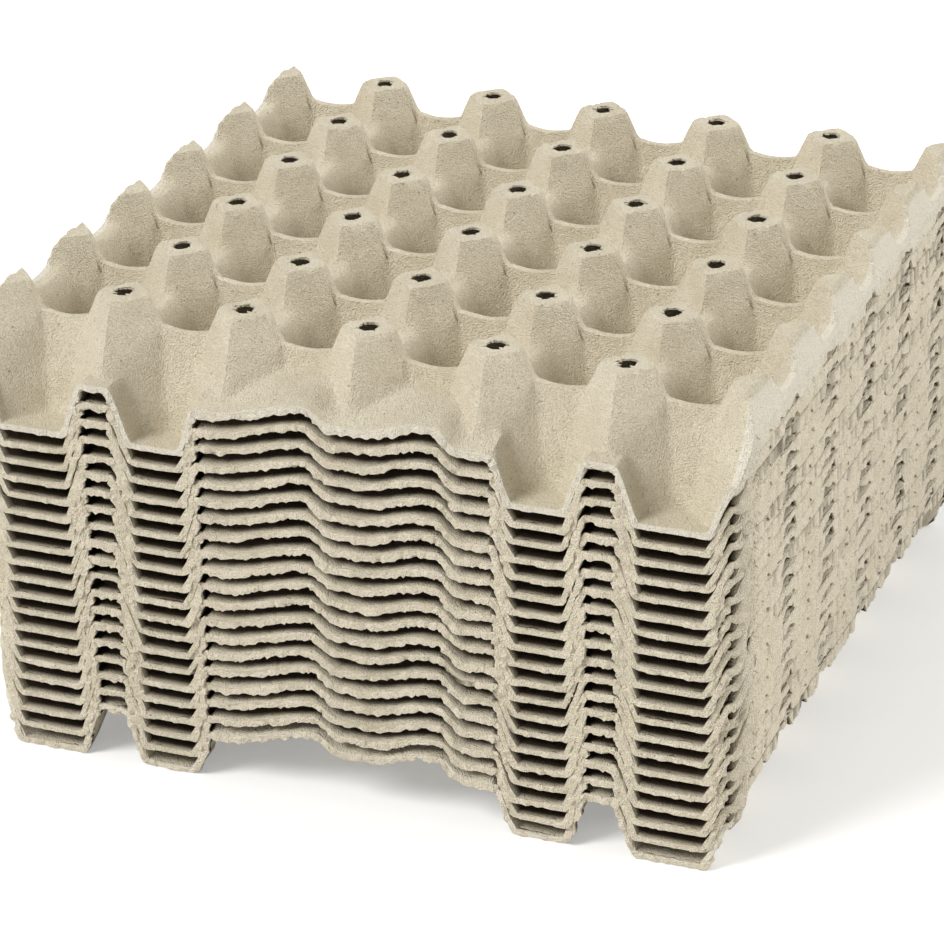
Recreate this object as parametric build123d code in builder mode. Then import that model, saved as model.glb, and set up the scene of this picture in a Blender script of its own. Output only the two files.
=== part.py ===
from build123d import *
import os
from math import atan2, cos, degrees, radians, sin, sqrt, tan

# A stack of nested egg trays of moulded pulp, in millimetres: feet on z = 0, x along the front edge.
# A tray is one sheet: rows of pockets between hollow four-sided posts that stand corner-on to the rows.

# The stack
tray_count = 20
nest_gap = 0.14  # between the walls of two nested trays, measured square to them

# One tray
pocket_columns = 6
pocket_rows = 5
pitch = 47.5
side_rim = 4.0  # left outside the middle of the outer columns of posts
end_rim = 4.9  # left outside the middle of the rows of pockets that the front and back edges cut
corner_radius = 16.0
tray_height = 47.3
wall = 2.0
draft = 18.5  # lean of every moulded wall, which lets the trays nest

# Posts
post_top = 15.6  # across the flats
hole_width = 6.6  # across the flats of the six-sided hole

# Bars between the posts, each as wide as said across its top
saddle_height = 33.3  # bars that run from front to back
saddle_width = 7.0
ledge_height = 30.2  # bars that run from side to side, each with a bead along its middle
ledge_width = 7.4
bead_width = 3.1
bead_seat = 0.8  # wall left under a bead
bead_gap = 0.2  # over a bead, under the tray nested on it
bead_bite = 0.2  # of each end of a bead's top into a post's edge

# Front and back skirts: arches between the cut pockets, and an apron in the middle
arch_columns = 2  # cut pockets at each end of a skirt
arch_height = 22.0
arch_width = 14.0
apron_gap = 8.0  # between the apron's foot and the middle of the cut pocket beside it
gully_height = 18.5  # the low stretches of the apron's rim
swell_width = 10.0  # across the flat top of a high stretch
swell_run = 9.0  # across each of its slopes

# Worked out from the values above
slope = tan(radians(draft))
nest_pitch = (wall + nest_gap) / sin(radians(draft))
bead_height = nest_pitch - bead_seat - bead_gap
tray_length = pocket_columns * pitch + 2 * side_rim
tray_depth = (pocket_rows + 1) * pitch + 2 * end_rim
bead_level = ledge_height + bead_height
bead_length = pitch - sqrt(2) * (post_top + 2 * slope * (tray_height - bead_level)) + 2 * bead_bite
last_row = pocket_rows * pitch / 2  # y of the outer rows of posts
last_column = pocket_columns * pitch / 2  # x of the outer columns of posts
skirt_reach = tray_depth / 2 - last_row
apron_columns = pocket_columns - 2 * arch_columns
apron_foot = (apron_columns + 1) * pitch - 2 * apron_gap
apron_fall = (ledge_height - gully_height) / skirt_reach
upright = (Align.CENTER, Align.MIN)


def bar_section(width, height, sink, skin):
    """Section of a drafted bar, with its sides moved in by sink and its top lowered by skin."""
    Trapezoid(width + 2 * (slope * height - sink), height - skin, 90 - draft, align=upright)


def post_block(sink, skin):
    """Solid four-sided post, with its sides moved in by sink and its top lowered by skin.

    It is what two long drafted bars, laid crosswise and corner-on to the rows, have in common.
    """
    with BuildPart() as post:
        for turn, mode in ((45, Mode.ADD), (-45, Mode.INTERSECT)):
            with BuildSketch(Plane.XZ.rotated((0, 0, turn))):
                bar_section(post_top, tray_height, sink, skin)
            extrude(amount=tray_height, both=True, mode=mode)
    return post.part


def skirt_block(sink, skin):
    """Solid front skirt, outward from the front row of posts."""
    rim = Plane.XZ.offset(tray_depth / 2)
    with BuildPart() as skirt:
        # Apron between its two drafted flanks
        with BuildSketch(rim):
            Trapezoid(apron_foot - 2 * sink, ledge_height + bead_height, 90 - draft, align=upright)
        extrude(amount=-skirt_reach)

        # Its top, which falls outward in gullies and swells. The section reaches as far below the feet as
        # above them, so that sinking its outline lowers the top alone
        with BuildSketch(rim):
            Rectangle(2 * last_column, 2 * gully_height)
            with Locations((0, gully_height)):
                with GridLocations(pitch, 0, apron_columns, 1):
                    swell_angle = degrees(atan2(bead_height, swell_run))
                    Trapezoid(swell_width + 2 * swell_run, bead_height, swell_angle, align=upright)
            if skin:
                offset(amount=-skin * sqrt(1 + apron_fall**2), kind=Kind.INTERSECTION)
        extrude(amount=2 * skirt_reach, dir=(0, 1, apron_fall), mode=Mode.INTERSECT)

        # Arches between the cut pockets, and the corners
        with BuildSketch(rim):
            for side in (-1, 1):
                with Locations((side * (last_column - arch_columns * pitch / 2), 0)):
                    with GridLocations(pitch, 0, arch_columns - 1, 1):
                        bar_section(arch_width, arch_height, sink, skin)
                with Locations((side * last_column, 0)):
                    bar_section(saddle_width, gully_height, sink, skin)
        extrude(amount=-skirt_reach)
    return skirt.part


def tray_block(skin, seat):
    """Solid under a tray's surface, with that surface sunk by skin, and by seat on the ledges."""
    sink = skin / cos(radians(draft))
    post = post_block(sink, skin)
    skirt = skirt_block(sink, skin)
    with BuildPart() as block:
        with BuildSketch(Plane.XZ):
            with GridLocations(pitch, 0, pocket_columns + 1, 1):
                bar_section(saddle_width, saddle_height, sink, skin)
        extrude(amount=last_row, both=True)
        with BuildSketch(Plane.YZ):
            with GridLocations(pitch, 0, pocket_rows + 1, 1):
                bar_section(ledge_width, ledge_height, sink, seat)
        extrude(amount=tray_length / 2, both=True)
        add(skirt)
        mirror(skirt, about=Plane.XZ)
        with GridLocations(pitch, pitch, pocket_columns + 1, pocket_rows + 1):
            add(post)
    return block.part


def make_tray():
    """One tray, without its beads and the holes in its posts."""
    outside = tray_block(0, 0)
    inside = tray_block(wall, bead_seat)
    with BuildPart() as tray:
        add(outside)
        with BuildSketch():
            Rectangle(tray_length, tray_depth)
        extrude(amount=wall)
        add(inside, mode=Mode.SUBTRACT)
        with BuildSketch():
            RectangleRounded(tray_length, tray_depth, corner_radius)
        extrude(amount=tray_height, mode=Mode.INTERSECT)
    return tray.part


nested_tray = make_tray()

# Beads and holes are made in the top tray alone, because the next tray hides those of every other
with BuildPart() as top_tray:
    add(nested_tray)
    with BuildSketch(Plane.XY.offset(ledge_height)):
        with GridLocations(pitch, pitch, pocket_columns, pocket_rows + 1):
            Rectangle(bead_length, bead_width)
    extrude(amount=bead_height)
    with BuildSketch(Plane.XY.offset(tray_height)):
        with GridLocations(pitch, pitch, pocket_columns - 1, pocket_rows + 1):
            RegularPolygon(hole_width / 2, 6, major_radius=False)
    extrude(amount=-2 * wall, mode=Mode.SUBTRACT)

os.makedirs("parts", exist_ok=True)
for number in range(1, tray_count + 1):
    form = top_tray.part if number == tray_count else nested_tray
    tray = Pos(0, 0, (number - 1) * nest_pitch) * form
    tray.label = f"tray_{number:02d}"
    export_step(tray, f"parts/{tray.label}.step", write_pcurves=False)
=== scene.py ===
"""Stack of nested egg trays of moulded pulp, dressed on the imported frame.

Every tray of the frame is replaced by one sheet of pulp with soft forms, a torn rim and holes in its posts.
Lengths are in millimetres inside the forms, and turn to metres where a mesh takes its place.
"""
from __future__ import annotations

import logging
import math
from dataclasses import dataclass
from enum import Enum

import bpy
import numpy as np
from mathutils import Matrix, Vector

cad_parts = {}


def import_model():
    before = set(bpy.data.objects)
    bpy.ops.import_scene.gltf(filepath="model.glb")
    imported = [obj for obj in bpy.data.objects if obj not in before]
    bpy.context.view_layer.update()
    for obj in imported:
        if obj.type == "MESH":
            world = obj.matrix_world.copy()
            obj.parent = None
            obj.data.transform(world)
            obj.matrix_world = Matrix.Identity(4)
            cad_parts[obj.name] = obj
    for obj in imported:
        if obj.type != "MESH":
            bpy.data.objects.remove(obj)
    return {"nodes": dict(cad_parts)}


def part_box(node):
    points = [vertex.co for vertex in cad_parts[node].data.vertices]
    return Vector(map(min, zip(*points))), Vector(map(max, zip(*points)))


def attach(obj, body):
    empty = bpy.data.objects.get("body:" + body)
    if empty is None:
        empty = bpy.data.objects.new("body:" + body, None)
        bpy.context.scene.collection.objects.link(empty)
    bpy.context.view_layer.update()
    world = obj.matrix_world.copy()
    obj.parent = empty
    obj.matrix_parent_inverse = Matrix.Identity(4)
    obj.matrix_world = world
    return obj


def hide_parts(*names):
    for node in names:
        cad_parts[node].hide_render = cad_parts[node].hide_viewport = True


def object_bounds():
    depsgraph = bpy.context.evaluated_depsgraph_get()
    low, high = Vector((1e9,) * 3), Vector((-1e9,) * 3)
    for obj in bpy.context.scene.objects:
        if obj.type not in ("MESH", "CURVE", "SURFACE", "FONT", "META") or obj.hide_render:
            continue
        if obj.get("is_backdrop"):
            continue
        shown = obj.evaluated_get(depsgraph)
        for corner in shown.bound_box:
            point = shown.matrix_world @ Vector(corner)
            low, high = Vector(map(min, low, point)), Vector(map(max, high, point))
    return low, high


log = logging.getLogger("egg_trays")
MM = 0.001
NOWHERE = -50.0  # height of a form where it isn't, in millimetres, which is under everything
Array = np.ndarray


class Place(Enum):
    """Where a tray lies in the stack, which sets how finely its sheet is divided."""

    TOP = "top"
    NESTED = "nested"


# Small functions on arrays


def smooth_max(a: Array, b: Array, reach: float) -> Array:
    """Higher of two surfaces, blended by a fillet where they lie within reach of each other."""
    near = np.clip(reach - np.abs(a - b), 0.0, None) / reach
    return np.maximum(a, b) + near * near * reach * 0.25


def smooth_min(a: Array, b: Array, reach: float) -> Array:
    """Lower of two surfaces, blended by a fillet where they lie within reach of each other."""
    return -smooth_max(-a, -b, reach)


def ease(low: float, high: float, value: Array) -> Array:
    """0 below low, 1 above high, and a smooth rise between them."""
    t = np.clip((value - low) / (high - low), 0.0, 1.0)
    return t * t * (3.0 - 2.0 * t)


def crown(offset: Array, flat: float, radius: float, steep: float) -> Array:
    """Fall from the top of a bar at an offset from its middle, past a flat and a rounded edge."""
    past = np.clip(np.abs(offset) - flat, 0.0, None)
    return steep * (np.sqrt(past * past + radius * radius) - radius)


def pulp_noise(x: Array, y: Array, size: float, seed: int) -> Array:
    """Smooth noise whose lumps are about size across.

    Args:
        x: places along x.
        y: places along y.
        size: size of the lumps.
        seed: which noise it is.

    Returns:
        A value from -1 to 1 for every place.
    """
    cells, away = 64, 1000.0  # cells of the table each way, and a shift that keeps every place positive
    table = np.random.default_rng(seed).uniform(-1.0, 1.0, (cells, cells))
    u, v = x / size + away, y / size + away
    i, j = np.floor(u).astype(int), np.floor(v).astype(int)
    s, t = u - i, v - j
    s, t = s * s * (3.0 - 2.0 * s), t * t * (3.0 - 2.0 * t)
    i0, j0, i1, j1 = i % cells, j % cells, (i + 1) % cells, (j + 1) % cells
    front = table[i0, j0] * (1.0 - s) + table[i1, j0] * s
    back = table[i0, j1] * (1.0 - s) + table[i1, j1] * s
    return front * (1.0 - t) + back * t


@dataclass(frozen=True)
class TrayForm:
    """Upper surface of one tray, as a height over every point of its plan, in millimetres.

    The posts are four-sided and stand corner-on to the rows. Bars join them: low round saddles from front to
    back, and ridges with a bead on a ledge from side to side.

    Attributes:
        length: the tray's size along x.
        depth: its size along y.
        height: height of the posts.
        pitch: from one pocket to the next.
        columns: how many whole pockets there are along x.
        rows: how many whole pockets there are along y.
        sheet: thickness of the pulp.
        corner_radius: radius of the tray's corners, seen from above.
        post_corner: from a post's middle to its corner, at its top.
        corner_growth: how much further out that corner lies for each millimetre down.
        edge_round: rounding of a post's edges.
        edge_growth: how much it grows for each millimetre past edge_start.
        edge_start: distance from the post's middle where that growth starts.
        dome: how strongly the top of a post falls off.
        crease: depth of the crease beside a ridge.
        crease_half: half the crease's width.
        groove: from the middle of a ridge to the crease.
        saddle: height of the saddles.
        outer_saddle: their height at the side rims.
        bead: height of the beads.
        bead_half: half the width of a bead.
        ledge: height of the ledges.
        ledge_half: half the width of a ledge.
        steep: fall of a moulded wall for each millimetre outwards.
        arch: height of the arches.
        arch_half: half the width of an arch's flat top.
        gully: height of the low stretches of the apron's rim.
        swell: how much its high stretches rise over them.
        swells: where each high stretch starts to rise, is up, starts to fall and is down.
        apron_half: half the apron's width at its foot.
        side_level: height of the side rims.
        hole: radius of the holes.
    """

    length: float
    depth: float
    height: float = 47.3
    pitch: float = 47.5
    columns: int = 6
    rows: int = 5
    sheet: float = 2.0
    corner_radius: float = 16.0
    post_corner: float = 11.0
    corner_growth: float = 0.4731
    edge_round: float = 0.5
    edge_growth: float = 0.20
    edge_start: float = 12.0
    dome: float = 0.002
    crease: float = 3.4
    crease_half: float = 0.5
    saddle: float = 33.0
    outer_saddle: float = 36.2
    bead: float = 36.4
    ledge: float = 30.2
    bead_half: float = 1.9
    ledge_half: float = 3.0
    groove: float = 2.3
    steep: float = 2.989
    arch: float = 22.0
    arch_half: float = 5.8
    gully: float = 18.3
    swell: float = 7.1
    swells: tuple[tuple[float, ...], ...] = ((-50.0, -15.0, -14.5, -3.0), (4.0, 30.0, 35.0, 44.0))
    apron_half: float = 63.4
    side_level: float = 32.6
    hole: float = 3.9

    @property
    def last_column(self) -> float:
        """x of the outer columns of posts."""
        return self.columns * self.pitch / 2

    @property
    def last_row(self) -> float:
        """y of the outer rows of posts."""
        return self.rows * self.pitch / 2

    def to_post(self, x: Array, y: Array) -> tuple[Array, Array]:
        """Offsets from the nearest post.

        Args:
            x: places along x.
            y: places along y.

        Returns:
            The offsets along x and those along y.
        """
        column = np.clip(np.round(x / self.pitch), -self.columns / 2, self.columns / 2)
        row = np.clip(np.round(y / self.pitch - 0.5) + 0.5, -self.rows / 2, self.rows / 2)
        return x - column * self.pitch, y - row * self.pitch

    def post(self, a: Array, b: Array) -> Array:
        """Post, whose edges along x are flattened and whose edges along y grow rounder downwards.

        Args:
            a: distances from the post's middle along x.
            b: distances from it along y.

        Returns:
            Height of the post.
        """
        facet = smooth_max(b, np.full_like(b, self.bead_half), 0.6)
        round_edge = self.edge_round + self.edge_growth * np.clip(b - self.edge_start, 0.0, None)
        across = np.sqrt(a * a + round_edge * round_edge) - 0.3 * round_edge
        slope = self.height - (facet + across - self.post_corner) / self.corner_growth
        top = self.height - self.dome * (a * a + b * b)
        whole = smooth_min(slope, top, 1.0)
        line = np.exp(-(((b - self.groove) / self.crease_half) ** 2))
        line = line * ease(0.0, 9.0, self.height - 3.0 - whole)
        return whole - self.crease * line * (a > b)

    def side_wall(self, x: Array) -> Array:
        """Steep outer wall, which closes the half posts and falls to the level side rim."""
        return self.side_level + (self.length / 2 - np.abs(x)) * self.steep

    def saddles(self, x: Array, a: Array, b: Array) -> Array:
        """Round bars that run from front to back, higher at the side rims.

        Args:
            x: places along x.
            a: distances from the nearest post along x.
            b: distances from it along y.

        Returns:
            Height of the bars.
        """
        middle = self.pitch / 2 - b
        edge = ease(self.last_column - 9.0, self.last_column - 4.0, np.abs(x))
        level = self.saddle + (self.outer_saddle - self.saddle) * edge
        return level + 0.016 * middle * middle - crown(a, 2.2, 4.0, self.steep)

    def ridges(self, a: Array, b: Array) -> Array:
        """Bars that run from side to side: a ledge, and a bead that stands on its middle.

        Args:
            a: distances from the nearest post along x.
            b: distances from it along y.

        Returns:
            Height of the bars.
        """
        middle = self.pitch / 2 - a
        sag = 1.1 * (1.0 - np.clip(middle / 8.0, -1.0, 1.0) ** 2)
        ledge = self.ledge - 0.5 * sag - crown(b, self.ledge_half - 0.4, 0.4, self.steep)
        bead = self.bead - sag - crown(b, self.bead_half, 0.05, 9.0) - 0.08 * b * b
        return np.maximum(ledge, bead)

    def apron(self, x: Array, reach: Array) -> Array:
        """Middle of a skirt, which falls from the ledge to a rim that waves in gullies and swells.

        Args:
            x: places along x.
            reach: distances outwards from the outer row of posts.

        Returns:
            Height of the apron.
        """
        wave = self.gully + 2.0 * np.exp(-((x / 14.0) ** 2))
        for rise, crest, brink, dip in self.swells:
            wave = wave + self.swell * np.minimum(ease(rise, crest, x), 1.0 - ease(brink, dip, x))
        share = reach / (self.depth / 2 - self.last_row)
        top = self.ledge + (wave - self.ledge) * share
        flank = (self.apron_half - np.abs(x)) * self.steep
        return smooth_min(top, flank, 2.0)

    def skirt(self, x: Array, y: Array, a: Array) -> Array:
        """Front and back skirts: the apron, the arches and the corners.

        Args:
            x: places along x.
            y: places along y.
            a: distances from the nearest post along x.

        Returns:
            Height of the skirts.
        """
        reach = np.abs(y) - self.last_row
        high = self.apron(x, reach)
        arch = self.arch - crown(np.abs(x) - 2 * self.pitch, self.arch_half, 1.2, self.steep)
        corner = self.gully - crown(a, 2.0, 2.0, self.steep)
        corner = np.where(np.abs(x) > self.last_column - self.pitch / 2, corner, NOWHERE)
        return np.where(reach > 0, np.maximum(high, np.maximum(arch, corner)), NOWHERE)

    def surface(self, x: Array, y: Array) -> Array:
        """The whole upper surface.

        Args:
            x: places along x.
            y: places along y.

        Returns:
            Height over the tray's feet.
        """
        dx, dy = self.to_post(x, y)
        a, b = np.abs(dx), np.abs(dy)
        inside = np.abs(y) <= self.last_row
        outer = np.abs(x) > self.last_column
        across = np.where(outer, 0.0, a)
        saddles = np.where(inside, self.saddles(x, across, b), NOWHERE)
        forms = smooth_min(smooth_max(self.post(across, b), saddles, 3.0), self.side_wall(x), 1.5)
        forms = smooth_max(forms, self.skirt(x, y, a), 2.0)
        forms = np.maximum(forms, np.where(outer, NOWHERE, self.ridges(a, b)))
        floor = self.sheet + 0.0 * x
        return smooth_max(forms, floor, 3.0)


@dataclass(frozen=True)
class Weave:
    """How finely a sheet is divided, in millimetres.

    Attributes:
        along: offsets along x of the grid's lines from a post's middle, as far as the pocket's middle.
        across: the same along y.
        side_rim: offsets of the lines past the outer columns of posts.
        end_rim: offsets of the lines past the outer rows of posts.
    """

    along: tuple[float, ...]
    across: tuple[float, ...]
    side_rim: tuple[float, ...]
    end_rim: tuple[float, ...]

    def lines(self, offsets: tuple[float, ...], posts: int, pitch: float, rim: tuple[float, ...]) -> Array:
        """Places of every line along one direction, from one rim to the other.

        Args:
            offsets: those between two posts.
            posts: how many posts there are.
            pitch: from one post to the next.
            rim: offsets past the last post.

        Returns:
            The places, in rising order.
        """
        half = np.array(offsets)
        ring = np.concatenate([-half[::-1], half[1:]])
        inner = np.concatenate([ring[:-1] + (k - (posts - 1) / 2) * pitch for k in range(posts)])
        last = (posts - 1) / 2 * pitch
        inner = inner[np.abs(inner) < last + 1e-6]
        inner = np.unique(np.round(np.concatenate([inner, [last]]), 4))
        outer = np.array(rim) + last
        return np.concatenate([-outer[::-1], inner, outer])


HALF = TrayForm.pitch / 2  # from a post's middle to a pocket's
END = 28.05  # from the outer rows of posts to the torn edge
STEP = HALF / 17  # between the lines of the top tray's grid
FINE = Weave(
    along=tuple(np.arange(18) * STEP),
    across=(0.0, 1.6, 2.3, 3.0, 4.6, 6.2, *np.linspace(6.2, HALF, 13)[1:]),
    side_rim=(1.2, 2.4, 3.4),
    end_rim=tuple(np.linspace(0.0, END, 21)[1:]),
)
COARSE = Weave(
    along=(0, 3.5, 7.0, 10.4, 13.7, 16.6, 20.0, HALF),
    across=(0, 4.2, 8.2, 12.2, 17.0, HALF),
    side_rim=(3.4,),
    end_rim=(4.0, 9.0, 14.0, 18.0, 22.0, 25.4, END),
)

# Section of the torn edge. Each point has a distance out past the rim and one up over the sheet, in
# millimetres, and a share of the lip's thickness that it lies lower.
LIP = (
    (-2.8, -0.35, 0.0),
    (-0.3, 0.05, 0.0),
    (0.25, -0.05, 0.25),
    (0.15, 0.15, 1.0),
    (-0.8, 0.0, 1.0),
    (-2.8, 0.5, 1.0),
)


@dataclass(frozen=True)
class Rim:
    """Line that a tray's torn edge follows, with one row a step.

    Attributes:
        place: where it runs, in millimetres.
        outward: level directions out of the tray.
        through: directions through the sheet, upwards.
        flatness: 1 where the edge is level and 0 where it is steep.
        distance: how far along the edge each step lies, in millimetres.
        side: 1 at the left and right sides and 0 at the front and back.
    """

    place: Array
    outward: Array
    through: Array
    flatness: Array
    distance: Array
    side: Array

    @classmethod
    def trace(cls, form: TrayForm, rings: int) -> "Rim":
        """Follows the tray's outline once round, in even steps over the rise and fall of its edge.

        Args:
            form: the tray's surface.
            rings: how many steps there are.

        Returns:
            The line, with one row a step.
        """
        inset = 0.7
        half_x, half_y = form.length / 2 - inset, form.depth / 2 - inset
        radius = form.corner_radius - inset
        corners = ((1, 1, 0.0), (-1, 1, 90.0), (-1, -1, 180.0), (1, -1, 270.0))
        points, normals = [], []
        for sx, sy, start in corners:
            turn = np.radians(start + np.linspace(0.0, 90.0, 120))
            ring = np.stack([np.cos(turn), np.sin(turn)], axis=1)
            points.append(np.array([sx * (half_x - radius), sy * (half_y - radius)]) + radius * ring)
            normals.append(ring)
            following = corners[(corners.index((sx, sy, start)) + 1) % 4]
            end = np.array([following[0] * (half_x - radius), following[1] * (half_y - radius)])
            end = end + radius * ring[-1]
            share = np.linspace(0.0, 1.0, 1200)[1:-1, None]
            points.append(points[-1][-1] * (1 - share) + end * share)
            normals.append(np.repeat(ring[-1:], len(share), axis=0))
        plan, outward = np.concatenate(points), np.concatenate(normals)
        z = form.surface(plan[:, 0], plan[:, 1])
        line = np.column_stack([plan, z])
        gap = np.linalg.norm(np.roll(line, -1, axis=0) - line, axis=1)
        travel = np.concatenate([[0.0], np.cumsum(gap)])
        at = np.arange(rings) / rings * travel[-1]

        def pick(values: Array) -> Array:
            """Values at the steps, from those at the points of the outline."""
            closed = np.concatenate([values, values[:1]])
            return np.stack([np.interp(at, travel, closed[:, k]) for k in range(values.shape[1])], axis=1)

        place, outward = pick(line), pick(outward)
        outward = outward / np.linalg.norm(outward, axis=1, keepdims=True)
        tangent = sum(np.roll(place, -k, axis=0) - np.roll(place, k, axis=0) for k in (1, 2))
        tangent = tangent / np.linalg.norm(tangent, axis=1, keepdims=True)
        outward = np.column_stack([outward, np.zeros(rings)])
        through = np.cross(outward, tangent)
        through = through * np.sign(through[:, 2:])
        flatness = ease(0.35, 0.9, np.hypot(tangent[:, 0], tangent[:, 1]))
        side = ease(0.5, 0.9, np.abs(outward[:, 0]))
        return cls(place, outward, through, flatness, at, side)


@dataclass
class PulpTray:
    """One tray: a sheet of pulp that is shaped, given its thickness and edged with torn fibre.

    Attributes:
        name: the frame's node that the tray replaces.
        number: place in the stack, from 1 at the bottom.
        form: the moulded surface.
        rim: the line of its edge.
        place: whether it is the top tray or a nested one.
        foot: height of the tray's feet over the ground, in millimetres.
        thickest: thickness of the sheet where its weight is 1, in millimetres.
        thinnest: thickness where its weight is 0, round the holes.
        slip: spread of the shifts of nested trays along x and along y, in millimetres.
        twist: spread of their turns, in degrees.
        warp: height and size of the sheet's slow waves, in millimetres.
        ripple: height and size of its quicker ones.
        sheet_finish: finish of the moulded surfaces.
        torn_finish: finish of the torn edge.
    """

    name: str
    number: int
    form: TrayForm
    rim: Rim
    place: Place
    foot: float
    thickest: float = 3.0
    thinnest: float = 0.6
    slip: float = 0.25
    twist: float = 0.06
    warp: tuple[float, float] = (0.22, 17.0)
    ripple: tuple[float, float] = (0.10, 5.0)
    sheet_finish: bpy.types.Material | None = None
    torn_finish: bpy.types.Material | None = None

    def build(self) -> bpy.types.Object:
        """Makes the sheet, cuts its holes, gives it a thickness and edges it.

        Returns:
            The finished tray, which rides on the frame and replaces its node.
        """
        sheet = self.add_sheet()
        self.cut_holes(sheet)
        self.thicken(sheet)
        edge = self.add_edge()
        bpy.ops.object.select_all(action="DESELECT")
        edge.select_set(True)
        sheet.select_set(True)
        bpy.context.view_layer.objects.active = sheet
        bpy.ops.object.join()
        bpy.ops.object.shade_smooth_by_angle(angle=math.radians(40.0))
        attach(sheet, "root")
        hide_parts(self.name)
        return sheet

    def shift(self) -> tuple[float, float, float]:
        """How far the tray lies from its place in the stack.

        Returns:
            Its shifts along x and y, in millimetres, and its turn, in radians.
        """
        if self.place is Place.TOP:
            return 0.0, 0.0, 0.0
        random = np.random.default_rng(500 + self.number)
        return (*random.normal(0.0, self.slip, 2), math.radians(random.normal(0.0, self.twist)))

    def settle(self, x: Array, y: Array, z: Array) -> Array:
        """Puts points of the tray where it lies in the stack.

        Args:
            x: places along x, in millimetres.
            y: places along y, in millimetres.
            z: heights over the tray's feet, in millimetres.

        Returns:
            One row of three coordinates a point, in millimetres.
        """
        right, back, turn = self.shift()
        return np.stack([x + right - y * turn, y + back + x * turn, z + self.foot], axis=-1)

    def add_sheet(self) -> bpy.types.Object:
        """Adds a grid and moulds it to the tray's form.

        Returns:
            The sheet, which has no thickness yet.
        """
        weave = FINE if self.place is Place.TOP else COARSE
        form = self.form
        xs = weave.lines(weave.along, form.columns + 1, form.pitch, weave.side_rim)
        ys = weave.lines(weave.across, form.rows + 1, form.pitch, weave.end_rim)
        bpy.ops.object.select_all(action="DESELECT")
        bpy.ops.mesh.primitive_grid_add(x_subdivisions=len(xs) - 1, y_subdivisions=len(ys) - 1, size=2.0)
        sheet = bpy.context.object
        sheet.name = f"pulp_{self.name}"
        mesh = sheet.data
        mesh.name = sheet.name
        flat = np.empty(len(mesh.vertices) * 3)
        mesh.vertices.foreach_get("co", flat)
        flat = flat.reshape(-1, 3)
        columns = np.rint((flat[:, 0] + 1.0) / 2.0 * (len(xs) - 1)).astype(int)
        rows = np.rint((flat[:, 1] + 1.0) / 2.0 * (len(ys) - 1)).astype(int)
        x, y = xs[columns], ys[rows]
        if self.place is Place.TOP:
            x = self.align_posts(x, y)
        x, y = self.round_holes(x, y)
        x, y = self.round_corners(x, y)
        z = form.surface(x, y)
        z = z + self.unevenness(x, y) * ease(form.sheet, 8.0, z)
        mesh.vertices.foreach_set("co", (self.settle(x, y, z) * MM).ravel())
        dx, dy = form.to_post(x, y)
        whole = np.abs(x - dx) < form.last_column - 1.0
        full = (form.sheet - self.thinnest) / (self.thickest - self.thinnest)
        weight = np.where(whole, full * ease(3.0, 7.5, np.hypot(dx, dy)), full)
        group = sheet.vertex_groups.new(name="wall")
        for level in np.unique(np.round(weight, 2)):
            members = np.flatnonzero(np.round(weight, 2) == level)
            group.add(members.tolist(), float(level), "REPLACE")
        mesh.update()
        return sheet

    def unevenness(self, x: Array, y: Array) -> Array:
        """Waves of a sheet that warped as it dried.

        Args:
            x: places along x.
            y: places along y.

        Returns:
            Their height, in millimetres.
        """
        seed = 100 + 7 * self.number
        warp = self.warp[0] * pulp_noise(x, y, self.warp[1], seed)
        return warp + self.ripple[0] * pulp_noise(x, y, self.ripple[1], seed + 1)

    def align_posts(self, x: Array, y: Array) -> Array:
        """Moves the grid's points so that they stand in rows along the slanted edges of the posts.

        Args:
            x: places along x.
            y: places along y.

        Returns:
            The new places along x.
        """
        form = self.form
        dx, dy = form.to_post(x, y)
        a, b = np.abs(dx), np.abs(dy)
        column = np.rint(a / STEP)
        row = np.searchsorted(np.array(FINE.across) + 0.01, b)
        ring = column + row
        target = ring * form.post_corner / 8.0 - b
        near = (1.0 - ease(12.0, 19.0, ring)) * (column > 0) * (np.abs(x) < form.last_column)
        return x + np.sign(dx) * near * (target - a)

    def round_holes(self, x: Array, y: Array) -> tuple[Array, Array]:
        """Turns the square rings of the grid round each post's middle into the ragged round of its hole.

        Args:
            x: places along x.
            y: places along y.

        Returns:
            The new places along x and along y.
        """
        form = self.form
        dx, dy = form.to_post(x, y)
        a, b = np.abs(dx), np.abs(dy)
        square = np.maximum(a, b)
        far = np.hypot(dx, dy) + 1e-9
        turn = np.arctan2(dy, dx)
        round_x, round_y = 3.0 * np.cos(turn) + x - dx, 3.0 * np.sin(turn) + y - dy
        ragged = 0.2 * pulp_noise(round_x, round_y, 1.7, 900 + self.number)
        width = form.hole / (2.0 * STEP) if self.place is Place.TOP else 1.0
        grown = (1.0 - ease(3.6, 7.0, square)) * (width * (1.0 + ragged - 0.12 * np.cos(2.0 * turn)) - 1.0)
        rounded = (1.0 - ease(3.2, 6.0, square)) * (square / far - 1.0)
        whole = np.abs(x - dx) < form.last_column - 1.0
        scale = np.where(whole, (1.0 + rounded) * (1.0 + grown), 1.0)
        return x - dx + dx * scale, y - dy + dy * scale

    def round_corners(self, x: Array, y: Array) -> tuple[Array, Array]:
        """Draws the grid's corners in to the tray's round corners.

        Args:
            x: places along x.
            y: places along y.

        Returns:
            The new places along x and along y.
        """
        inset = 0.6
        radius = self.form.corner_radius - inset
        half_x, half_y = self.form.length / 2 - inset, self.form.depth / 2 - inset
        dx = np.clip(np.abs(x) - (half_x - radius), 0.0, None)
        dy = np.clip(np.abs(y) - (half_y - radius), 0.0, None)
        draw = np.maximum(dx, dy) / (np.hypot(dx, dy) + 1e-9)
        x = x - np.sign(x) * dx * (1.0 - draw)
        y = y - np.sign(y) * dy * (1.0 - draw)
        return x, y

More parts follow.
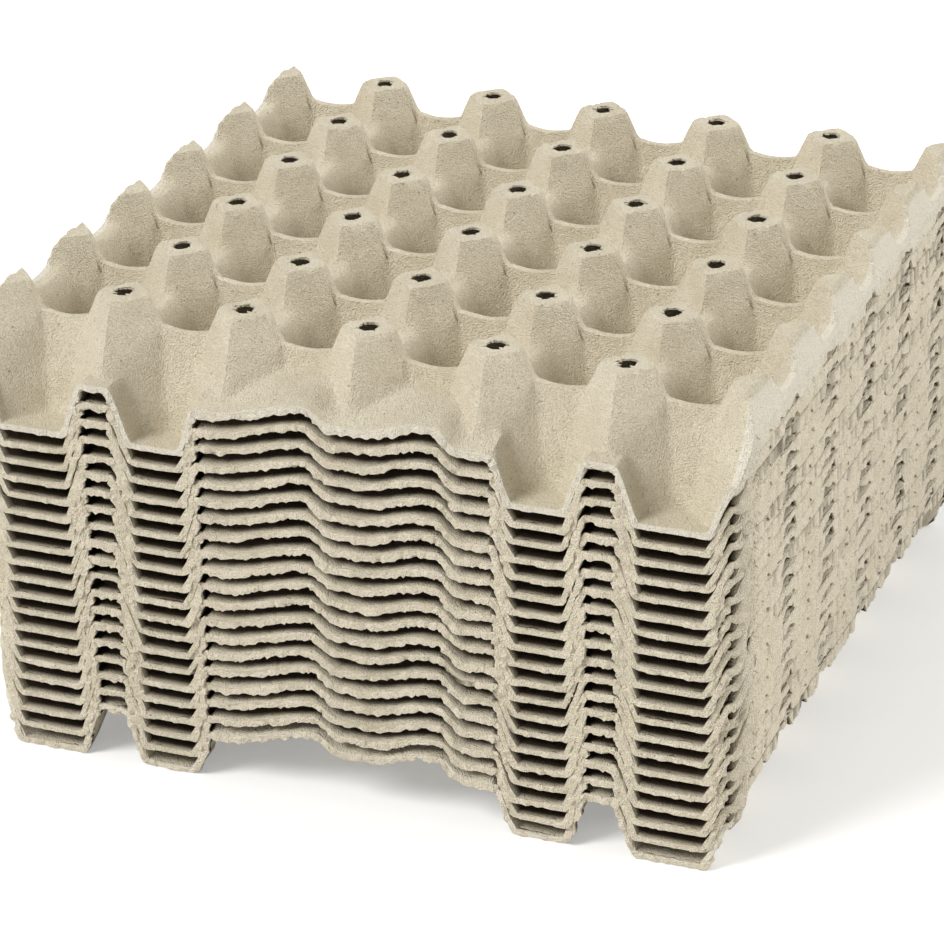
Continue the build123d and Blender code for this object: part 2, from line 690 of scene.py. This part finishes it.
    def cut_holes(self, sheet: bpy.types.Object) -> None:
        """Deletes the faces inside the hole of each whole post.

        Args:
            sheet: the sheet, which has no thickness yet.
        """
        mesh = sheet.data
        centres = np.empty(len(mesh.polygons) * 3)
        mesh.polygons.foreach_get("center", centres)
        centres = centres.reshape(-1, 3) / MM
        right, back, turn = self.shift()
        x, y = centres[:, 0] - right + centres[:, 1] * turn, centres[:, 1] - back - centres[:, 0] * turn
        dx, dy = self.form.to_post(x, y)
        whole = np.abs(x - dx) < self.form.last_column - 1.0
        reach = self.form.hole * 0.98 if self.place is Place.TOP else 4.0
        inside = (np.hypot(dx, dy) < reach) & whole
        bpy.ops.object.mode_set(mode="EDIT")
        bpy.ops.mesh.select_mode(type="FACE")
        bpy.ops.mesh.select_all(action="DESELECT")
        bpy.ops.object.mode_set(mode="OBJECT")
        mesh.polygons.foreach_set("select", inside)
        bpy.ops.object.mode_set(mode="EDIT")
        bpy.ops.mesh.delete(type="FACE")
        bpy.ops.object.mode_set(mode="OBJECT")

    def thicken(self, sheet: bpy.types.Object) -> None:
        """Gives the sheet its wall, which is thin round the holes.

        Args:
            sheet: the sheet with its holes.
        """
        sheet.data.materials.append(self.sheet_finish)
        wall = sheet.modifiers.new("wall", "SOLIDIFY")
        wall.thickness = self.thickest * MM
        wall.offset = -1.0
        wall.vertex_group = "wall"
        wall.thickness_vertex_group = self.thinnest / self.thickest
        bpy.ops.object.modifier_apply(modifier=wall.name)
        split = sheet.modifiers.new("facets", "TRIANGULATE")
        split.quad_method = "SHORTEST_DIAGONAL"
        bpy.ops.object.modifier_apply(modifier=split.name)

    def add_edge(self) -> bpy.types.Object:
        """Adds the torn edge: a grid rolled up into a ring whose section is a ragged lip.

        Returns:
            The edge, which closes on itself.
        """
        rim, seed = self.rim, 1000 + 31 * self.number
        rings, around = len(rim.distance), len(LIP)
        bpy.ops.object.select_all(action="DESELECT")
        bpy.ops.mesh.primitive_grid_add(x_subdivisions=around, y_subdivisions=rings, size=2.0)
        edge = bpy.context.object
        s = rim.distance

        def wander(size: float, number: int) -> Array:
            """Smooth noise along the rim."""
            return pulp_noise(s, np.full_like(s, 13.7 * number), size, seed + number)

        side = rim.side
        off_row = np.abs(self.form.to_post(rim.place[:, 0], rim.place[:, 1])[1])
        closed = 6.0 - 3.1 * ease(15.5, 18.0, off_row) * (0.9 + 0.6 * wander(9.0, 8))
        closed = closed - 2.0 * (1.0 - ease(1.2, 2.4, off_row))
        front = 2.6 + 0.5 * wander(7.0, 1)
        ragged = 0.6 * np.clip(wander(1.2, 2) + 0.2, -0.3, 1.0)
        ragged = ragged + 1.4 * np.clip(wander(3.1, 6) - 0.5, 0.0, 1.0)
        thick = front * (1.0 - side) + (closed + 0.9 * wander(6.0, 1)) * side + ragged * (1.0 - 0.4 * side)
        steep = (1.0 - rim.flatness) * (1.0 - side)
        thick = thick + 0.5 * steep * wander(2.6, 7)
        reach = (0.55 - 0.35 * side) * wander(11.0, 3) + (0.5 - 0.15 * side + 0.2 * steep) * wander(2.4, 4)
        reach = reach + 0.35 * wander(1.2, 5) * (1.0 - 0.5 * side)
        lean = 0.1 + 0.1 * side
        places = np.empty((rings, around, 3))
        for k, (out, over, share) in enumerate(LIP):
            free = 1.0 if 0 < k < around - 1 else 0.0
            along = out + free * (reach + lean * share + 0.28 * wander(1.9, 10 + k))
            up = over - share * thick + free * 0.25 * wander(2.2, 20 + k)
            places[:, k] = rim.place + rim.outward * along[:, None] + rim.through * up[:, None]
        x, y, z = (places[..., k] for k in range(3))
        lip = self.settle(x, y, np.clip(z + self.unevenness(x, y), 0.05, None)) * MM
        flat = np.empty(len(edge.data.vertices) * 3)
        edge.data.vertices.foreach_get("co", flat)
        flat = flat.reshape(-1, 3)
        corner = np.rint((flat[:, 0] + 1.0) / 2.0 * around).astype(int) % around
        ring = np.rint((flat[:, 1] + 1.0) / 2.0 * rings).astype(int) % rings
        edge.data.vertices.foreach_set("co", lip[ring, corner].ravel())
        edge.data.materials.append(self.torn_finish)
        edge.data.update()
        bpy.ops.object.mode_set(mode="EDIT")
        bpy.ops.mesh.select_all(action="SELECT")
        bpy.ops.mesh.remove_doubles(threshold=1e-7)
        bpy.ops.mesh.normals_make_consistent(inside=False)
        bpy.ops.object.mode_set(mode="OBJECT")
        return edge


def linear(hex_colour: str) -> tuple[float, float, float, float]:
    """Linear colour of an sRGB hex value."""
    parts = [int(hex_colour[k : k + 2], 16) / 255.0 for k in (1, 3, 5)]
    return (*[c / 12.92 if c <= 0.04045 else ((c + 0.055) / 1.055) ** 2.4 for c in parts], 1.0)


def node(
    tree: bpy.types.NodeTree,
    kind: str,
    settings: dict[str | int, object],
    links: dict[str | int, bpy.types.NodeSocket],
) -> bpy.types.Node:
    """Adds a node.

    Args:
        tree: where it is added.
        kind: its type.
        settings: its values, by the name of an attribute or the name or number of a socket.
        links: the sockets that lead into it, by the name or number of its own socket.

    Returns:
        The node.
    """
    made = tree.nodes.new(kind)
    for name, value in settings.items():
        if isinstance(name, str) and hasattr(made, name):
            setattr(made, name, value)
        else:
            made.inputs[name].default_value = value
    for name, source in links.items():
        tree.links.new(source, made.inputs[name])
    return made


@dataclass(frozen=True)
class PulpFinish:
    """Moulded paper pulp, pressed wet against a wire screen and dried.

    This leaves it matt and grainy to the eye, with small darker pits, pale and dark patches and a few specks.
    Behind the rims of nested trays a painted shade darkens the pulp, for the shade deep in the gaps where
    little light gets in and loose fibres hang. On open trays the same nodes paint the rim a little paler.

    Attributes:
        name: what the finish is.
        pale: colour of its pale patches.
        dark: colour of its dark patches.
        fuzz: depth of its grain, in millimetres.
        shade: colour that it turns to between two depths behind its outline: a painted shade between nested
            trays, and a paler rim on open ones.
        depths: these two depths, in millimetres. Where the second is the lesser, the shade is at the rim.
        most: share of the shade where it is full.
        side_lead: how much nearer to the outline the shade lies at the left and right sides, in millimetres.
        speck: colour of its specks.
        pit: colour of its pits.
        grain: width of its grain, in millimetres.
        lump: width of its lumps, in millimetres.
        lump_depth: their depth, in millimetres.
        patch: width of its patches, in millimetres.
        speck_gap: distance between its specks, in millimetres.
    """

    name: str
    pale: str
    dark: str
    fuzz: float
    # Dark brown of the painted shade in the gaps between nested trays
    shade: str = "#3A2813"
    depths: tuple[float, float] = (1.0, 7.0)
    most: float = 0.93
    side_lead: float = 0.0
    speck: str = "#8A7E62"
    pit: str = "#B5A88A"
    grain: float = 0.55
    lump: float = 3.0
    lump_depth: float = 0.4
    patch: float = 16.0
    speck_gap: float = 7.5

    def make(self, form: TrayForm) -> bpy.types.Material:
        """Makes the material, which reads Object coordinates.

        Args:
            form: the tray's form, whose outline the shade follows.

        Returns:
            The material.
        """
        material = bpy.data.materials.new(self.name)
        material.use_nodes = True
        tree = material.node_tree
        tree.nodes.clear()
        place = node(tree, "ShaderNodeTexCoord", {}, {}).outputs["Object"]
        noises = []
        for size, detail in ((self.patch, 4.0), (self.grain, 1.0), (self.lump, 1.0)):
            settings = {"Scale": 1.0 / (size * MM), "Detail": detail, "Roughness": 0.65}
            noises.append(node(tree, "ShaderNodeTexNoise", settings, {"Vector": place}).outputs["Fac"])
        mottle, grain, lumps = noises
        spots = node(tree, "ShaderNodeTexVoronoi", {"Scale": 1.0 / (self.speck_gap * MM)}, {"Vector": place})

        # Patches, pits and specks: what each follows, from where to where, with which shares, and its colour
        layers = (
            (mottle, (0.35, 0.68), (0.0, 1.0), self.dark),
            (grain, (0.55, 0.30), (0.0, 0.46), self.pit),
            (spots.outputs["Distance"], (0.04, 0.08), (0.6, 0.0), self.speck),
        )
        colour: bpy.types.NodeSocket | None = None
        for source, (low, high), (least, most), tint in layers:
            settings = {"From Min": low, "From Max": high, "To Min": least, "To Max": most}
            share = node(tree, "ShaderNodeMapRange", settings, {"Value": source}).outputs["Result"]
            settings = {"data_type": "RGBA", 6: linear(self.pale), 7: linear(tint)}
            links = {0: share} if colour is None else {0: share, 6: colour}
            colour = node(tree, "ShaderNodeMix", settings, links).outputs[2]
        # Behind the outline: a painted shade on nested trays, and a paler rim on open ones
        settings = {"data_type": "RGBA", 7: linear(self.shade)}
        links = {0: self.depth_shade(tree, place, form), 6: colour}
        colour = node(tree, "ShaderNodeMix", settings, links).outputs[2]

        settings = {"Strength": 1.0, "Distance": self.fuzz * MM}
        fibre = node(tree, "ShaderNodeBump", settings, {"Height": grain}).outputs["Normal"]
        settings = {"Strength": 1.0, "Distance": self.lump_depth * MM}
        relief = node(tree, "ShaderNodeBump", settings, {"Height": lumps, "Normal": fibre}).outputs["Normal"]
        settings = {"Roughness": 0.95, "Specular IOR Level": 0.15}
        links = {"Base Color": colour, "Normal": relief}
        shader = node(tree, "ShaderNodeBsdfPrincipled", settings, links)
        node(tree, "ShaderNodeOutputMaterial", {}, {"Surface": shader.outputs["BSDF"]})
        return material

    def depth_shade(
        self, tree: bpy.types.NodeTree, place: bpy.types.NodeSocket, form: TrayForm
    ) -> bpy.types.NodeSocket:
        """Share of the shade, from the distance of a point behind the tray's outline. Between nested trays it
        is a painted shade.

        Args:
            tree: the material's nodes.
            place: the point, in Object coordinates.
            form: the tray's form.

        Returns:
            A socket that goes from 0 at the first of the two depths to the full share at the second.
        """
        radius = form.corner_radius
        corner = ((form.length / 2 - radius + self.side_lead) * MM, (form.depth / 2 - radius) * MM, 1.0)
        kind = "ShaderNodeVectorMath"
        folded = node(tree, kind, {"operation": "ABSOLUTE"}, {0: place}).outputs["Vector"]
        beyond = node(tree, kind, {"operation": "SUBTRACT", 1: corner}, {0: folded}).outputs["Vector"]
        kept = node(tree, kind, {"operation": "MAXIMUM"}, {0: beyond}).outputs["Vector"]
        reach = node(tree, kind, {"operation": "LENGTH"}, {0: kept}).outputs["Value"]
        start, full = ((radius - depth) * MM for depth in self.depths)
        settings = {"From Min": start, "From Max": full, "To Min": 0.0, "To Max": self.most}
        return node(tree, "ShaderNodeMapRange", settings, {"Value": reach}).outputs["Result"]


@dataclass(frozen=True)
class Studio:
    """Camera, lamps, floor and backdrop.

    Attributes:
        azimuth: where the camera stands round the object, from the front towards the right, in degrees.
        elevation: how high it stands, in degrees.
        roll: how far it is turned about its view, in degrees.
        offset: of the middle of the top tray's posts from the middle of the view, to the right, up and away,
            in millimetres.
        lens: the camera's focal length, for a sensor 36 mm wide.
        ambient: strength of the world on the object.
        glow: light that the floor adds of its own where the camera sees it.
    """

    azimuth: float = 22.31
    elevation: float = 25.11
    roll: float = -1.08
    offset: tuple[float, float, float] = (8.5, 98.0, 1383.9)
    lens: float = 141.25
    ambient: float = 0.38
    glow: float = 0.3

    def add_camera(self, top: float) -> None:
        """Adds the camera.

        Args:
            top: height of the tops of the posts, in metres.
        """
        a, e, r = (math.radians(v) for v in (self.azimuth, self.elevation, self.roll))
        back = Vector((math.sin(a) * math.cos(e), -math.cos(a) * math.cos(e), math.sin(e)))
        level = Vector((math.cos(a), math.sin(a), 0.0))
        upward = back.cross(level)
        right = math.cos(r) * level + math.sin(r) * upward
        up = -math.sin(r) * level + math.cos(r) * upward
        x, y, z = (v * MM for v in self.offset)
        eye = Vector((0.0, 0.0, top)) - right * x - up * y + back * z
        data = bpy.data.cameras.new("camera")
        data.lens = self.lens
        data.sensor_width = 36.0
        data.clip_end = 50.0
        camera = bpy.data.objects.new("camera", data)
        turn = Matrix((right, up, back)).transposed()
        camera.matrix_world = Matrix.Translation(eye) @ turn.to_4x4()
        bpy.context.collection.objects.link(camera)
        bpy.context.scene.camera = camera

    def add_lamp(self, name: str, azimuth: float, elevation: float, spread: float, power: float) -> None:
        """Adds a far, broad lamp.

        Args:
            name: its name.
            azimuth: where it stands round the object, from the front towards the right, in degrees.
            elevation: how high it stands, in degrees.
            spread: how broad it looks, in degrees.
            power: its strength.
        """
        data = bpy.data.lights.new(name, "SUN")
        data.angle = math.radians(spread)
        data.energy = power
        lamp = bpy.data.objects.new(name, data)
        a, e = math.radians(azimuth), math.radians(elevation)
        towards = Vector((math.sin(a) * math.cos(e), -math.cos(a) * math.cos(e), math.sin(e)))
        lamp.rotation_euler = towards.to_track_quat("Z", "Y").to_euler()
        bpy.context.collection.objects.link(lamp)

    def add_lamps(self) -> None:
        """Adds the lamps: a key from the front left and a weaker one from the right."""
        self.add_lamp("key", -42.0, 44.0, 28.0, 2.35)
        self.add_lamp("right", 122.0, 24.0, 28.0, 1.75)

    def background_share(self, tree: bpy.types.NodeTree) -> bpy.types.NodeSocket:
        """Share that is 1 for the rays that show the background: those of the camera, of gloss and of glass.

        Args:
            tree: nodes of the world or of a material.

        Returns:
            The share's socket.
        """
        rays = node(tree, "ShaderNodeLightPath", {}, {})
        share = rays.outputs["Is Camera Ray"]
        for kind in ("Is Glossy Ray", "Is Transmission Ray"):
            links = {0: share, 1: rays.outputs[kind]}
            share = node(tree, "ShaderNodeMath", {"operation": "MAXIMUM"}, links).outputs["Value"]
        return share

    def add_world(self) -> None:
        """Lights the object evenly and shows white behind it."""
        world = bpy.data.worlds.new("studio")
        bpy.context.scene.world = world
        world.use_nodes = True
        tree = world.node_tree
        tree.nodes.clear()
        white = (1.0, 1.0, 1.0, 1.0)
        even = node(tree, "ShaderNodeBackground", {"Color": white, "Strength": self.ambient}, {})
        behind = node(tree, "ShaderNodeBackground", {"Color": white, "Strength": 1.0}, {})
        links = {0: self.background_share(tree), 1: even.outputs[0], 2: behind.outputs[0]}
        mix = node(tree, "ShaderNodeMixShader", {}, links)
        node(tree, "ShaderNodeOutputWorld", {}, {"Surface": mix.outputs[0]})

    def add_floor(self) -> None:
        """Adds a floor that shows white to the camera and is pale to the object."""
        bpy.ops.object.select_all(action="DESELECT")
        bpy.ops.mesh.primitive_plane_add(size=12.0, location=(0.0, 0.0, -0.0002))
        floor = bpy.context.object
        floor.name = "floor"
        material = bpy.data.materials.new("floor_paper")
        material.use_nodes = True
        tree = material.node_tree
        tree.nodes.clear()
        bounce = node(tree, "ShaderNodeBsdfDiffuse", {"Color": linear("#ECECEA")}, {})
        paper = node(tree, "ShaderNodeBsdfDiffuse", {"Color": linear("#F0F0EE")}, {})
        glow = node(tree, "ShaderNodeEmission", {"Color": (1.0, 1.0, 1.0, 1.0), "Strength": self.glow}, {})
        lit = node(tree, "ShaderNodeAddShader", {}, {0: paper.outputs[0], 1: glow.outputs[0]})
        links = {0: self.background_share(tree), 1: bounce.outputs[0], 2: lit.outputs[0]}
        mix = node(tree, "ShaderNodeMixShader", {}, links)
        node(tree, "ShaderNodeOutputMaterial", {}, {"Surface": mix.outputs[0]})
        floor.data.materials.append(material)
        floor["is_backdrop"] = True

    def build(self, top: float) -> None:
        """Sets the whole studio up.

        Args:
            top: height of the tops of the posts, in metres.
        """
        self.add_camera(top)
        self.add_lamps()
        self.add_world()
        self.add_floor()
        bpy.context.scene.view_settings.view_transform = "Standard"


@dataclass
class TrayStack:
    """The stack: every tray of the frame, from the bottom up.

    Attributes:
        nodes: names of the frame's nodes, in that order.
    """

    nodes: list[str]

    def build(self) -> None:
        """Builds each tray at the height that the frame gives."""
        low, high = (Vector(corner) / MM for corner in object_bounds())
        form = TrayForm(length=high.x - low.x, depth=high.y - low.y)
        rim = Rim.trace(form, 1500)
        pale, dark, fuzz = "#F0E6CF", "#E4D9C0", 1.2
        edge = "#FBF4E4"  # of the open trays' rims

        # Pressed against the screen and open to the eye: matt and grainy, with a thin paler rim
        open_sheet = PulpFinish("moulded_pulp", pale, dark, fuzz, edge, (1.6, 0.8), 0.6, -3.0).make(form)

        # Cut or torn when dry, so that broken fibres show: a little greyer, and paler at the rim
        open_torn = PulpFinish(
            "torn_pulp", "#F0E6D2", "#E2D8C0", fuzz, edge, (1.2, 0.4), 0.4, -2.0
        ).make(form)

        # The same two between nested trays, where a painted shade darkens them behind the rim, for the shade
        # deep in the gaps. The torn one is paler
        nested_sheet = PulpFinish("nested_pulp_painted_shade", pale, dark, fuzz, depths=(1.0, 4.2)).make(form)
        nested_torn = PulpFinish(
            "nested_torn_pulp_painted_shade", "#F4E9D3", "#EADFC7", fuzz, depths=(1.0, 1.9), side_lead=0.5
        ).make(form)
        for number, name in enumerate(self.nodes, start=1):
            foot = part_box(name)[0][2] / MM
            place = Place.TOP if number == len(self.nodes) else Place.NESTED
            sheet = open_sheet if place is Place.TOP or number == 1 else nested_sheet
            torn = open_torn if place is Place.TOP else nested_torn
            tray = PulpTray(name, number, form, rim, place, foot, sheet_finish=sheet, torn_finish=torn)
            made = tray.build()
            log.info("%s: %d faces", made.name, len(made.data.polygons))


def main() -> None:
    """Builds the stack and the studio."""
    logging.basicConfig(level=logging.INFO, format="%(message)s")
    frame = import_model()
    cad_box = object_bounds()
    TrayStack(sorted(frame["nodes"])).build()
    Studio().build(cad_box[1][2])


if __name__ == "__main__":
    main()
